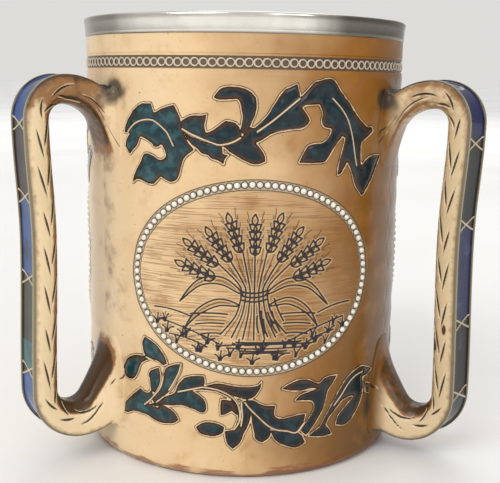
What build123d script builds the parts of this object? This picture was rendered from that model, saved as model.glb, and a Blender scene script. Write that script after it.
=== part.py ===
from build123d import *
import os
from math import cos, degrees, radians, sin, tan

# Three-handled stoneware loving cup with a silver rim. Sizes are in millimetres.
# +Z is up, the origin lies on the cup's axis in the plane that it stands on,
# and -Y faces the panel between the left and the right handle.

# Thrown body
cup_height = 160.0
cup_radius = 60.7
wall = 5.5
floor_thickness = 7.0
inside_corner = 9.0
foot_round = 3.4
foot_ring_width = 8.0
foot_recess = 1.8

# Turned band that holds the stamped chain, measured down from the top of the rim
chain_drop = 13.6
chain_width = 4.9
chain_depth = 0.35

# Silver rim and the plaster that beds it on the lip
rim_height = 6.8
rim_flare = 0.5
rim_overhang = 0.2
rim_metal = 0.6
rim_bevel = 0.7
bedding = 0.4

# Handles: a strap bent over two arches, flared into a root on the body at each end.
# Reaches are measured out from the body, and the upper arch down from the rim.
handle_count = 3
strap_width = 14.0
strap_depth = 10.2
strap_back_bevel = 2.4
channel_width = 10.0
channel_depth = 0.7
upper_reach = 31.3
upper_arch_drop = 20.5
upper_arch_radius = 15.2
waist_reach = 29.5
waist_height = 82.0
lower_reach = 30.7
lower_arch_foot = 7.6
lower_arch_radius = 19.2
instep_rise = 12.6
instep_radius = 6.0
root_width = 21.0
root_flare = 13.5
root_burial = 5.0
root_spread = 1.25
upper_root_fall = 15.0
upper_throat_radius = 14.0
upper_throat_slope = 75.0
lower_root_rise = 12.4
instep_slope = 60.0
sag_left = -2.0
sag_right = 2.0
sag_back = 0.0

# Raised beads round the oval panel between each pair of handles
oval_height = 72.0
oval_half_width = 43.8
oval_half_height = 32.3
bead_pitch = 2.57
bead_radius = 1.0
bead_rise = 0.8
bead_sides = 6
bead_taper = 24.0

# Sizes that follow from the ones above
cup_inside = cup_radius - wall
foot_radius = cup_radius - foot_round
rim_seat = cup_height - rim_height
chain_top = cup_height - chain_drop
chain_foot = chain_top - chain_width
floor_height = foot_recess + floor_thickness
handle_step = 360.0 / handle_count


def radial(azimuth):
    """Unit vector out of the axis; azimuth 0 faces -Y and grows towards +X."""
    return Vector(sin(radians(azimuth)), -cos(radians(azimuth)), 0)


def rim_outline(inset):
    """Corners of the rim's cross-section, drawn in by inset from its outer skin."""
    return [
        (cup_inside + inset, rim_seat),
        (cup_inside + inset, cup_height - inset),
        (cup_radius + rim_overhang + rim_flare - inset, cup_height - inset),
        (cup_radius + rim_overhang - inset, rim_seat),
    ]


def quarter_bevel(centre, radius, first_angle, last_angle):
    """Points of a quarter round about centre (reach, height), turned as two bevels."""
    middle_angle = (first_angle + last_angle) / 2
    return [
        (centre[0] + radius * cos(radians(angle)), centre[1] + radius * sin(radians(angle)))
        for angle in (first_angle, middle_angle, last_angle)
    ]


# Body: one turned profile, its lip thinned on both sides to go inside the silver
with BuildPart() as body:
    with BuildSketch(Plane.XZ):
        with BuildLine():
            Polyline(
                (0, foot_recess),
                (foot_radius - foot_ring_width - foot_recess, foot_recess),
                (foot_radius - foot_ring_width, 0),
                *quarter_bevel((foot_radius, foot_round), foot_round, -90, 0),
                (cup_radius, chain_foot),
                (cup_radius - chain_depth, chain_foot + chain_depth),
                (cup_radius - chain_depth, chain_top - chain_depth),
                (cup_radius, chain_top),
                (cup_radius, rim_seat),
                (cup_inside, rim_seat),
                *quarter_bevel(
                    (cup_inside - inside_corner, floor_height + inside_corner),
                    inside_corner,
                    0,
                    -90,
                ),
                (0, floor_height),
                (0, foot_recess),
            )
        make_face()
        with BuildLine():
            Polyline(*rim_outline(rim_metal + bedding), close=True)
        make_face()
    revolve(axis=Axis.Z)


# Silver rim: sheet metal turned over the lip, with its two top edges eased
with BuildPart() as silver_rim:
    with BuildSketch(Plane.XZ) as rim_section:
        with BuildLine():
            Polyline(*rim_outline(0), close=True)
        make_face()
        chamfer(rim_section.vertices().group_by(Axis.Y)[-1], rim_bevel)
        with BuildLine():
            Polyline(*rim_outline(rim_metal), close=True)
        make_face(mode=Mode.SUBTRACT)
    revolve(axis=Axis.Z)


# Plaster bedding that fills the gap between silver and lip
with BuildPart() as rim_cement:
    with BuildSketch(Plane.XZ):
        with BuildLine():
            Polyline(*rim_outline(rim_metal), close=True)
        make_face()
        with BuildLine():
            Polyline(*rim_outline(rim_metal + bedding), close=True)
        make_face(mode=Mode.SUBTRACT)
    revolve(axis=Axis.Z)


# Heights and reaches of a handle seen from the side, shared by both its edges
buried = cup_radius - root_burial
upper = cup_radius + upper_reach
waist = cup_radius + waist_reach
lower = cup_radius + lower_reach
crown = upper - upper_arch_radius
crown_top = cup_height - upper_arch_drop
crown_base = crown_top - upper_arch_radius
sole = lower - lower_arch_radius
outward, downward, inward = (1, 0), (0, -1), (-1, 0)


def bow(start, end):
    """Two arcs that leave start and reach end upright, with a slight bend between."""
    middle = ((start[0] + end[0]) / 2, (start[1] + end[1]) / 2)
    first = TangentArc(start, middle, tangent=downward)
    TangentArc(middle, end, tangent=first % 1)


def front_edge(sag, inset=0.0):
    """Outer edge of the strap from the upper to the lower root, drawn in by inset."""
    sole_foot = lower_arch_foot - sag
    hip = sole_foot + lower_arch_radius
    top, foot = crown_top - inset, sole_foot + inset
    run = crown - buried
    with BuildLine() as edge:
        RadiusArc(
            (buried, top - upper_root_fall),
            (crown, top),
            (run**2 + upper_root_fall**2) / (2 * upper_root_fall),
        )
        TangentArc((crown, top), (upper - inset, crown_base), tangent=outward)
        bow((upper - inset, crown_base), (waist - inset, waist_height))
        bow((waist - inset, waist_height), (lower - inset, hip))
        TangentArc((lower - inset, hip), (sole, foot), tangent=downward)
        TangentArc((sole, foot), (buried, foot + lower_root_rise), tangent=inward)
    return edge.wire()


def back_edge(sag):
    """Inner edge of the strap from the upper to the lower root, round the hand's gap.

    Inside the roots it spreads from its slope at the skin towards the upright.
    """
    instep = lower_arch_foot - sag + instep_rise
    heel = instep + instep_radius
    upper_back, waist_back, lower_back = (
        reach - strap_depth for reach in (upper, waist, lower)
    )
    throat_top = crown_top - strap_depth
    fall, rise = radians(upper_throat_slope), radians(instep_slope)
    throat = (
        crown - upper_throat_radius * sin(fall),
        throat_top - upper_throat_radius * (1 - cos(fall)),
    )
    ankle = (
        lower_back - instep_radius * (1 + sin(rise)),
        instep + instep_radius * (1 - cos(rise)),
    )
    upper_end = throat[1] - (throat[0] - buried) * tan(fall) * root_spread
    lower_end = ankle[1] + (ankle[0] - buried) * tan(rise) * root_spread
    with BuildLine() as edge:
        TangentArc(throat, (buried, upper_end), tangent=(-cos(fall), -sin(fall)))
        RadiusArc(throat, (crown, throat_top), upper_throat_radius)
        TangentArc((crown, throat_top), (upper_back, crown_base), tangent=outward)
        bow((upper_back, crown_base), (waist_back, waist_height))
        bow((waist_back, waist_height), (lower_back, heel))
        RadiusArc((lower_back, heel), (lower_back - instep_radius, instep), instep_radius)
        RadiusArc((lower_back - instep_radius, instep), ankle, instep_radius)
        TangentArc(ankle, (buried, lower_end), tangent=(-cos(rise), sin(rise)))
    return edge.wire()


def make_handle(azimuth, sag):
    """A bent strap at this azimuth, its lower arch hanging sag below the mean."""
    out = radial(azimuth)
    side = Plane(origin=(0, 0, 0), x_dir=out, z_dir=out.cross(Vector(0, 0, 1)))
    plan = Plane(origin=(0, 0, 0), x_dir=out, z_dir=(0, 0, 1))
    front, back = front_edge(sag), back_edge(sag)
    root_ends = back.vertices().group_by(Axis.X)[0].sort_by(Axis.Y)
    channel_bed = front_edge(sag, channel_depth)
    beyond_root = buried - 1.0
    beyond_strap = upper + strap_depth
    with BuildPart() as handle:
        with BuildSketch(side.offset(-root_width / 2)):
            with BuildLine():
                add(front)
                add(back)
                Line(front @ 0, root_ends[-1].center())
                Line(front @ 1, root_ends[0].center())
            make_face()
        extrude(amount=root_width)
        with BuildSketch(plan):
            with BuildLine():
                flare = TangentArc(
                    (cup_radius + root_flare, strap_width / 2),
                    (beyond_root, root_width / 2),
                    tangent=inward,
                )
                Polyline(
                    flare @ 1,
                    (beyond_root, 0),
                    (beyond_strap, 0),
                    (beyond_strap, strap_width / 2),
                    flare @ 0,
                )
            make_face()
            mirror(about=Plane.XZ)
        extrude(amount=cup_height, mode=Mode.INTERSECT)

        Cylinder(
            cup_radius,
            cup_height,
            align=(Align.CENTER, Align.CENTER, Align.MIN),
            mode=Mode.SUBTRACT,
        )

        front_path = side.from_local_coords(front)
        rails = handle.edges().filter_by(
            lambda rail: abs((rail @ 0.5).dot(side.z_dir)) > strap_width * 0.45
            and rail.distance_to(front_path) > strap_width / 2 + strap_depth / 4
        )
        chamfer(rails.filter_by(GeomType.LINE, reverse=True), strap_back_bevel)

        with BuildSketch(side.offset(-channel_width / 2)):
            with BuildLine():
                add(channel_bed)
                Polyline(
                    channel_bed @ 1,
                    (buried, -strap_depth),
                    (beyond_strap, -strap_depth),
                    (beyond_strap, cup_height),
                    (buried, cup_height),
                    channel_bed @ 0,
                )
            make_face()
        extrude(amount=channel_width, mode=Mode.SUBTRACT)
    return handle


def bead_places(azimuth):
    """Planes on the body's skin, evenly spaced round the oval at this azimuth."""
    oval = Edge.make_ellipse(oval_half_width, oval_half_height)
    bead_count = round(oval.length / bead_pitch)
    places = []
    for bead in range(bead_count):
        spot = oval @ (bead / bead_count)
        out = radial(azimuth + degrees(spot.X / cup_radius))
        places.append(
            Plane(origin=out * cup_radius + Vector(0, 0, oval_height + spot.Y), z_dir=out)
        )
    return places


def make_bead_oval(azimuth):
    """All the beads round one panel, each a separate domed dot of slip."""
    with BuildPart() as oval:
        for place in bead_places(azimuth):
            with BuildSketch(place):
                RegularPolygon(bead_radius, bead_sides)
        extrude(amount=bead_rise, taper=bead_taper)
    return oval


pieces = {
    "body": body,
    "silver_rim": silver_rim,
    "rim_cement": rim_cement,
    "handle_left": make_handle(-handle_step / 2, sag_left),
    "handle_right": make_handle(handle_step / 2, sag_right),
    "handle_back": make_handle(handle_step * 3 / 2, sag_back),
    "bead_oval_front": make_bead_oval(0),
    "bead_oval_right": make_bead_oval(handle_step),
    "bead_oval_left": make_bead_oval(-handle_step),
}
os.makedirs("parts", exist_ok=True)
for node, piece in pieces.items():
    piece.part.label = node
    export_step(piece.part, f"parts/{node}.step")
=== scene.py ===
import math

import bpy
import numpy as np
from mathutils import Matrix, Vector


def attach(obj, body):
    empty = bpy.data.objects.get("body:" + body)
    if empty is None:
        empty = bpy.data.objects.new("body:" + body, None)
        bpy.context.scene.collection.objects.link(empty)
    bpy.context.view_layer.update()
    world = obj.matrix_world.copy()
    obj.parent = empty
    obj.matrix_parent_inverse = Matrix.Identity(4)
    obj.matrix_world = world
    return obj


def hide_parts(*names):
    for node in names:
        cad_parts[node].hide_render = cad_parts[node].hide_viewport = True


# Looks of a three-handled stoneware loving cup with a silver rim.
# Sizes below are in millimetres, and MM turns them into Blender's metres.
# A panel is the third of the wall between two handles. A place on it is written as
# (degrees from the panel's middle, height), and on its oval as (across, up) in mm.

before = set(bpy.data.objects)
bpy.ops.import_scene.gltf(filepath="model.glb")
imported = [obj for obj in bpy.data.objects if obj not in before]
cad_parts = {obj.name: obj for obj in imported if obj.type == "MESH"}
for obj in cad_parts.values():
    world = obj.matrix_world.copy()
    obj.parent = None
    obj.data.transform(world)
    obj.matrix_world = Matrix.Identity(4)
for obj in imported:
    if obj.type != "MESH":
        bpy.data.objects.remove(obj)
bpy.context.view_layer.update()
MM = 0.001
FAR = 4.0

bl_info = {
    "name": "Stoneware loving cup",
    "version": (1, 0, 0),
    "blender": (4, 5, 0),
    "location": "View3D > Sidebar > Loving cup",
    "description": "Models and glazes a three-handled stoneware loving cup",
    "category": "Object",
}

CHAIN_FOOT = 141.5
CHAIN_TOP = 146.4
WALL_FOOT = 3.4
OVAL_FOOT = 38.5
OVAL_TOP = 105.5
BEADS = 94
LINKS = 127
PITCH = 13.6
ROOT_EASE = 4.2

# Strokes of ground beside the sheaf in the oval: left, low, right, high
GROUND_LINES = (
    (-36, -11.5, -22, -13.5),
    (-34, -15.5, -12, -22.5),
    (-13, -23.5, 14, -23.0),
    (12, -22.0, 34, -15.0),
    (23, -12.5, 37, -10.0),
    (-30, -20.5, -16, -24.0),
    (17, -24.0, 30, -19.5),
)
# Leaves of the sheaf: points of the middle line, and width
SHEAF_LEAVES = (
    (((-4, -5), (-11, -0.5), (-19, -1.5), (-26, -8.5)), 2.6),
    (((4, -5), (11.5, -1), (19.5, -2.5), (27, -10)), 2.6),
    (((-5, -9), (-12, -8), (-19, -11.5), (-24, -17.5)), 2.4),
    (((5, -9), (12, -7.5), (18.5, -11), (23, -17)), 2.4),
)
# Bands of each panel: name, grid steps round and up, lower and upper edge, and how the
# steps are shared out (part of the grid, degrees) so that the drawing's are the finest.
WALL_BANDS = (
    ("lower", (300, 88), WALL_FOOT, OVAL_FOOT, (0.5, 30)),
    ("oval", (372, 222), OVAL_FOOT, OVAL_TOP, (0.82, 43.5)),
    ("upper", (318, 92), OVAL_TOP, CHAIN_FOOT, (0.5, 30)),
)
# Dark kiln flashing and painted shade from the handles on the wall round their roots and down the left edge:
# degrees from the panel's middle, height, spread round and up, amount
FLASHING_AND_SHADE = (
    (-51.5, 134.5, 4.2, 4.0, 1.15),
    (-56, 127, 3.5, 6.0, 0.5),
    (49.5, 132.5, 3.8, 4.2, 1.35),
    (55, 124, 2.5, 6.0, 0.5),
    (-57, 34, 4.0, 9.0, 0.20),
    (-57, 78, 8.0, 45.0, 0.33),
    (47, 20, 3.0, 6.0, 0.6),
    (56, 30, 4.0, 8.0, 0.5),
)

# Each strap: direction from the front, how far its foot lies above the others', the
# blocks of glaze in its channel as (start, end, colour), the crossed lines between them
# and the spots burnt on its side as (place, size). Places are mm along its outer edge
# from the upper end in the wall. Last come the strap's twist in degrees and how deep on
# its side the plaited strokes run, and how brown its upper limb and its inner edge are:
# the upper limb's brown is the fire's, the inner edge's is partly the fire's and partly
# painted shade where the rounded side turns away from the light.
HANDLES = {
    "strap_left": (
        -60,
        -2,
        (
            (0, 24, "#1B1A1C"),
            (24, 52, "#27477F"),
            (52, 77, "#2A151C"),
            (77, 104, "#27477F"),
            (104, 128, "#2C2A14"),
            (128, 139, "#2C5C5C"),
            (139, 158, "#27477F"),
            (158, 260, "#2A1D1B"),
        ),
        (51.8, 76.8, 105.5, 138.8),
        (),
        0,
        6.4,
        (1.0, 1.15),
    ),
    "strap_right": (
        60,
        2,
        (
            (0, 20, "#15161C"),
            (20, 57, "#121A4E"),
            (57, 85, "#12160E"),
            (85, 122, "#111A4A"),
            (122, 149, "#150D0B"),
            (149, 163, "#141A12"),
            (163, 260, "#17100E"),
        ),
        (57.0, 86.0, 122.4, 149.5),
        ((124.0, 4.0, 0.9), (130.5, 8.0, 1.1)),
        15,
        5.6,
        (0.50, 0.45),
    ),
    "strap_back": (
        180,
        0,
        (
            (0, 24, "#1B1A1C"),
            (24, 52, "#18245C"),
            (52, 77, "#33261A"),
            (77, 104, "#1F2A55"),
            (104, 128, "#2C2A14"),
            (128, 158, "#18245C"),
            (158, 260, "#2A1D1B"),
        ),
        (51.8, 76.8, 105.5, 138.8),
        (),
        0,
        6.0,
        (0.50, 0.40),
    ),
}


LEAVES = (
    # Curled leaf
    ((-46.6, 120.2), (-45.5, 123.8), (-43.8, 125.9), (-42, 128), (-40.3, 129.2), (-38.5, 130),
     (-35, 130.1), (-34.2, 127.8), (-33.5, 127.3), (-30.6, 128.7), (-28.6, 129.4),
     (-26.6, 129.9), (-25.2, 127.3), (-24.4, 125), (-23.6, 121.6), (-21.9, 118), (-19.8, 115.5),
     (-22.6, 113.2), (-23.6, 111.5), (-24.6, 107.6), (-25.4, 105.5), (-26.6, 104.6),
     (-28.6, 104.6), (-31.4, 105.9), (-33.2, 104.1), (-34.5, 103.2), (-36.5, 103.4),
     (-40.5, 104.5), (-42.8, 103.1), (-42, 105.9), (-39.5, 110.1), (-38.5, 112.5),
     (-36.8, 113.4), (-34.9, 112.9), (-31.9, 111.5), (-30.2, 112), (-29.4, 113.2), (-30.4, 116),
     (-31.2, 116.7), (-32.5, 115.9), (-33.9, 116), (-35.2, 117.4), (-38.5, 118.8),
     (-39.5, 118.7), (-40.7, 116.2), (-43.1, 113.9), (-44.1, 112.9), (-45.8, 115),
     (-45.8, 117.1), (-44.1, 119.7)),
    # Lobed leaf, upper half
    ((-24.1, 124.8), (-21, 126.4), (-17.3, 126.7), (-15.8, 127.1), (-16.5, 123.4), (-16, 121.1),
     (-14.3, 121.6), (-11.4, 123.8), (-10, 125), (-9.2, 125.1), (-6.4, 124.1), (-5.1, 121.6),
     (-5.1, 119.7), (-7, 118.5), (-9.4, 117.6), (-12, 117.3), (-14.3, 118), (-17.6, 119.2),
     (-21, 120.6), (-23.9, 122.2)),
    # Lobed leaf, lower half
    ((-23.8, 121.7), (-21.8, 120.3), (-18.5, 118.9), (-15.9, 118.1), (-11.9, 117.4),
     (-10.8, 116.1), (-10.5, 114.4), (-9, 113.9), (-9.9, 112.7), (-10.3, 110.9), (-11.7, 112),
     (-14, 112.7), (-15.3, 113.9), (-17.2, 114.4), (-18.9, 116.1), (-20.5, 117.2),
     (-22.2, 119.3)),
    # Drooping tongue
    ((-11.9, 117.2), (-10.3, 116.8), (-8.4, 115.1), (-6.1, 113.7), (-3.8, 112.3), (-1.5, 111.3),
     (0.8, 111.3), (2.6, 112.1), (2.3, 114.1), (1.1, 116.1), (-0.5, 118.1), (0.5, 119.3),
     (3.8, 120.7), (2.4, 122.4), (-0.2, 122), (-2.8, 122), (-4.8, 120), (-6.7, 118.8),
     (-9.4, 117.8)),
    # Hooked leaf
    ((-13.5, 132.7), (-12.3, 134.5), (-11, 135.7), (-9, 136.1), (-6.7, 136.1), (-4.4, 135.7),
     (-2.2, 134.5), (-0.8, 132.8), (-0.3, 130.4), (-0.7, 127.6), (-1.8, 124.8), (-2.9, 122),
     (-3.5, 120.7), (-4.9, 121.7), (-4.8, 123.8), (-4.5, 126.2), (-4.8, 128.6), (-5.4, 131.1),
     (-6.3, 132.4), (-8.1, 132.2), (-10, 132), (-12.3, 132.1)),
    # Great hanging leaf
    ((-0.5, 123.2), (3.3, 127.3), (5, 130.2), (7.8, 134.6), (9.5, 135.9), (12.4, 137.2),
     (13.5, 133.1), (14.7, 133.9), (17.8, 137.5), (19.5, 138.3), (24.6, 139), (27.8, 135.3),
     (32, 130.9), (35.8, 126.5), (40.3, 123.2), (43.1, 122.7), (43.8, 121.4), (38.9, 118.5),
     (37.5, 117), (37.9, 111.9), (38.4, 109.7), (42.7, 112.6), (47.9, 112.8), (48.6, 112),
     (46.2, 108.6), (43.8, 104.9), (40.6, 100.5), (38.9, 99.4), (35.5, 103.4), (33.4, 108.9),
     (31.6, 111.5), (29.6, 108.2), (27.8, 107.1), (28.5, 111.5), (30.6, 119.6), (29.2, 120.3),
     (26.1, 116.6), (23.7, 113), (22.3, 111.7), (16.8, 111.5), (13.7, 111.7), (15.7, 115.9),
     (17.5, 117.4), (22, 118.1), (24.7, 121), (24.9, 122.9), (22, 123.6), (21.1, 126.2),
     (21.6, 127.6), (20.2, 130.9), (15.7, 130.6), (14, 129.7), (16.1, 126.9), (16.8, 125.4),
     (14.7, 123.2), (9.5, 122.5), (5, 121.4), (0.2, 118.5), (-3, 119.2), (-3.8, 121),
     (-2.6, 123.2)),
    # Small oval lobe
    ((-48.4, 34.5), (-47.4, 36.9), (-45.8, 39.3), (-42.8, 40.9), (-39.5, 41.4), (-37.9, 41.6),
     (-36.6, 40.6), (-38.9, 39.3), (-40.2, 37.6), (-41.5, 34.5), (-43.5, 32), (-45.8, 31.6),
     (-47.5, 32.5)),
    # Pointed lobe
    ((-38.1, 48.8), (-34, 47), (-31.7, 44.9), (-30, 42.5), (-29.2, 40.4), (-30.7, 39.7),
     (-33, 40.9), (-36.2, 41.1), (-37.9, 41.8), (-39, 44.2), (-39, 46.6)),
    # Leaf inside the curl
    ((-36.2, 35.9), (-34, 37.6), (-32.2, 38.3), (-31.7, 35.2), (-32.3, 32), (-34, 28.9),
     (-35.5, 29.6), (-35.9, 33.1)),
    # Upright lobe
    ((-28.7, 39.3), (-26.4, 40.4), (-24, 40.9), (-24.4, 37.9), (-25.8, 35.2), (-27.1, 32.4),
     (-29, 29.6), (-31.7, 27.2), (-34, 25.1), (-35.1, 26), (-32, 30.3), (-30.5, 34.5),
     (-29.8, 37.9)),
    # Broad lower leaf
    ((-49, 18.2), (-48.4, 20.6), (-46.7, 23), (-43.8, 25.8), (-41.8, 27.5), (-40.1, 29.1),
     (-38.2, 28.2), (-36.6, 28.2), (-35.5, 29.5), (-34.8, 27.5), (-36.6, 24.1), (-33, 23.4),
     (-31.3, 24.9), (-27.7, 23.7), (-25.8, 22), (-25, 20.2), (-27.1, 18.8), (-31, 18.2),
     (-34.3, 18.8), (-37.6, 19.9), (-40.8, 19.9), (-43.5, 19.8), (-46.1, 18.5)),
    # Forked leaf
    ((-26.4, 30), (-25.1, 33.1), (-23.5, 35.2), (-22.5, 36.2), (-19.9, 37.1), (-16.1, 37.5),
     (-15.8, 35.2), (-16.9, 33.4), (-20.5, 32), (-17.2, 30), (-15.6, 28.2), (-15.3, 25.4),
     (-16.6, 24.3), (-19.9, 25.3), (-23.8, 26.1), (-27.7, 25.3), (-31, 25), (-33.3, 23.9),
     (-36.2, 24.2), (-33, 25.4), (-29.7, 28.2)),
    # Long leaf over the stem
    ((-15.6, 33.9), (-13.3, 34.8), (-10.7, 35.2), (-6.7, 34.5), (-2.2, 34.1), (1.5, 34.5),
     (2.8, 35.9), (2.4, 33.8), (0.8, 31), (-1.5, 29.8), (-4.1, 30.2), (-7.4, 31.3),
     (-10.3, 32.7), (-13.3, 33.4)),
    # Leaf under the stem
    ((-10.3, 29.3), (-8.4, 29.3), (-6.4, 28.6), (-5.1, 26.1), (-5.1, 24.1), (-6.7, 25.4),
     (-8.7, 24.4), (-10.3, 23.7), (-10.5, 26.8)),
    # Stem
    ((-20.5, 32), (-16.6, 33.6), (-12, 33.4), (-8.1, 31.7), (-5.3, 29.2), (-4, 25.7),
     (-4.1, 21.3), (-5.6, 18.2), (-6.2, 18.5), (-4.9, 21.6), (-4.8, 25.4), (-6, 28.6),
     (-8.4, 30.7), (-12, 32.2), (-16.6, 32.5)),
    # Leaf at the stem foot
    ((-3.8, 28.6), (-1.5, 29.3), (-0.2, 28.2), (-0.8, 25.4), (-0.8, 22.7), (-1.5, 19.9),
     (-2.8, 17.1), (-3.5, 15), (-4.8, 12.9), (-6.3, 11.4), (-8.1, 13.5), (-8.7, 15.7),
     (-9, 17.8), (-7.4, 18.2), (-5.4, 18.8), (-4, 21.3), (-3.5, 24.8)),
    # Seed pod
    ((-18.7, 18.5), (-16.6, 20.2), (-14, 20.8), (-10.7, 20.2), (-9.2, 19.2), (-9.9, 17.1),
     (-12, 16.1), (-14.6, 15.9), (-17.2, 16.6)),
    # Crested leaf, upper half
    ((-2.6, 28.8), (-0, 29.3), (3.6, 27.4), (7.5, 27), (7.2, 24.4), (8, 22.7), (10.5, 22),
     (14.4, 22.7), (18, 23), (17.8, 20.6), (16.7, 18.2), (15.1, 16.6), (11.8, 17.5), (7.8, 18.3),
     (4.6, 20.6), (1.3, 24.1), (-1, 26.5)),
    # Crested leaf, tongue
    ((-0.5, 26.1), (1.3, 23.7), (4.6, 20.2), (6.1, 18.2), (5.8, 15.7), (3.6, 13.8), (1.3, 15),
     (0.6, 17.8), (-0, 21.3)),
    # Crested leaf, lower half
    ((6.2, 17.9), (10.5, 17.7), (15.1, 16.4), (17, 15), (18.3, 12.4), (15.2, 10.9), (11.8, 11.9),
     (8.8, 13.5), (7.2, 15.4)),
    # Forked stem
    ((9.8, 33.1), (12.4, 34.6), (15.7, 35.7), (19, 35.3), (22.9, 33.4), (24.9, 34.8),
     (27.5, 35.4), (30.3, 35.2), (28.5, 32.7), (26.5, 30), (25.6, 26.5), (24.6, 23.4),
     (22.9, 20.4), (21, 17.7), (18.7, 15), (16.7, 17.1), (19, 19.9), (21, 23), (21.6, 25.4),
     (20.6, 27.5), (18.3, 28), (14.6, 28.4), (16.4, 30), (19.7, 30.9), (22.9, 31.6),
     (20.6, 32.2), (17, 31.9), (13.1, 32.2)),
    # Dark curled leaf
    ((24.2, 17.1), (27.5, 22.7), (30.1, 26.8), (32.8, 30.3), (35.4, 33.1), (38.7, 35),
     (42.6, 35.9), (45.9, 34.8), (49, 33.2), (45.9, 32), (43.6, 31.6), (43.9, 28.2),
     (43.3, 24.8), (41.9, 21.3), (39.3, 18.2), (36.7, 16.4), (34.1, 15.7), (30.8, 16.6),
     (31.5, 19.2), (33.4, 21.3), (36.7, 23.7), (39.1, 25.6), (36.7, 26.1), (33.1, 25.4),
     (30.1, 22.7), (27.5, 19.9), (25.6, 17.1)),
    # Leaf on the root
    ((45.6, 28.8), (48.5, 27.5), (51.8, 25.6), (55.5, 22.8), (52.1, 23.4), (49.2, 23.9),
     (45.8, 25.4)),
    # Last tongue
    ((19.8, 14.6), (22.9, 16.4), (25.9, 17.7), (27.5, 15.7), (28.6, 13.6), (24.9, 13.5),
     (22.3, 13.9)),
)
VEINS = (
    # Curled leaf
    ((-46, 118.8), (-43.8, 121.6), (-41.2, 123.6), (-38.2, 124.6), (-35.2, 124.8),
     (-33.2, 124.1), (-30.6, 122.2), (-28.6, 120.2), (-26.7, 116.4)),
    # Lobed leaf
    ((-23.9, 122.2), (-21, 120.6), (-17.6, 119.2), (-14.3, 118), (-12, 117.3), (-9.4, 117.6),
     (-7, 118.5), (-5.1, 119.7)),
    # Curl of the stem
    ((-37.6, 41.3), (-34, 40.4), (-31.7, 39), (-30.6, 36.2), (-31, 33.4), (-32, 30.7),
     (-34, 27.9), (-36.2, 25.4), (-38.3, 23.5)),
    # Upright lobe
    ((-24, 40.9), (-24.8, 37.6), (-26.7, 33.8), (-28.5, 30.7)),
    # Forked leaf
    ((-25.1, 30.7), (-22.5, 31.6), (-19.9, 32.4), (-16.6, 33.4)),
    # Stem
    ((-16.6, 33.4), (-12, 32.9), (-8.1, 31.3), (-5.4, 28.8), (-4.2, 25.4), (-4.4, 21.3),
     (-6, 18.5)),
    # Stem to the crest
    ((-3.8, 30.2), (-3.5, 26.8), (-3.3, 23.4), (-3.7, 19.9)),
    # Crested leaf
    ((-2.6, 28.6), (-0.7, 26.1), (1.3, 23.9), (4.6, 20.4), (7.8, 18.2), (11.8, 17.3),
     (15.1, 16.4), (17.8, 19.5), (20.3, 22.7)),
    # Great leaf, first vein
    ((13.4, 132.7), (9.8, 129.7), (4.6, 125.2), (-0, 121.7)),
    # Great leaf, mid vein
    ((24.9, 132.8), (28.5, 129.3), (31.5, 125.2), (33.4, 120.3), (34.4, 115.4), (36, 109.9)),
    # Dark curled leaf
    ((43.3, 33.8), (39.3, 33.1), (36, 31), (32.8, 27.5), (29.5, 24.1)),
)


def linear(code):
    """Linear colour with alpha from an sRGB hex code."""
    parts = [int(code[i : i + 2], 16) / 255 for i in (1, 3, 5)]
    return tuple(
        part / 12.92 if part <= 0.04045 else ((part + 0.055) / 1.055) ** 2.4
        for part in parts
    ) + (1.0,)


def length(name, description, default):
    """A length property, given in millimetres."""
    return bpy.props.FloatProperty(
        name=name, description=description, default=default * MM, unit="LENGTH"
    )


def colour(name, description, code):
    """A colour property, given as an sRGB hex code."""
    return bpy.props.FloatVectorProperty(
        name=name,
        description=description,
        default=linear(code),
        size=4,
        subtype="COLOR",
        min=0.0,
        max=1.0,
    )


class LovingCupSizes(bpy.types.PropertyGroup):
    height: length("Height", "Foot to the top of the rim", 160.0)
    radius: length("Radius", "Outside of the thrown wall", 60.7)
    inside: length("Inside radius", "Inside of the thrown wall", 55.2)
    oval_width: length("Oval width", "Half the bead oval's width along the wall", 43.8)
    oval_rise: length("Oval height", "Half the bead oval's height", 32.3)
    oval_height: length("Oval centre", "Height of the bead oval's centre", 72.0)
    bead_radius: length("Bead radius", "Radius of a dot of slip", 1.02)
    strap_depth: length("Strap depth", "Front to back of a handle's strap", 10.2)
    strap_width: length("Strap width", "Side to side of a handle's strap", 14.0)
    relief: bpy.props.FloatProperty(
        name="Relief", description="Strength of the carved relief", default=1.0
    )


class LovingCupGlazes(bpy.types.PropertyGroup):
    # The pale and warm body colours are partly the kiln's tone and partly painted light at -X and painted shade
    # at +X.
    pale_body: colour("Pale body", "Stoneware where the salt glaze is cool", "#DBBB8F")
    warm_body: colour("Warm body", "Stoneware where the kiln was hot", "#8C5810")
    leaf: colour("Leaf glaze", "Thick blue-green glaze on the leaves", "#1C373D")
    leaf_thin: colour("Thin leaf glaze", "Brown where the leaf glaze is thin", "#4E3018")
    # The incised colour is glaze gathered in the cut lines and partly painted shade in them.
    incised: colour("Incised line", "Glaze gathered in the cut lines", "#221A18")
    burr: colour("Burr", "Clay raised beside a cut line", "#DCC09A")
    slip: colour("Slip", "White slip of the beads", "#E6DFD1")
    channel: colour("Bead channel", "Grey glaze round the beads", "#55504A")
    blue: colour("Blue glaze", "Cobalt glaze on the straps", "#18245C")
    brown: colour("Brown glaze", "Manganese glaze on the straps", "#2A1D1B")
    green: colour("Green glaze", "Olive glaze on the straps", "#3A3E26")
    silver: colour("Silver", "Polished silver", "#DEDAD2")


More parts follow.
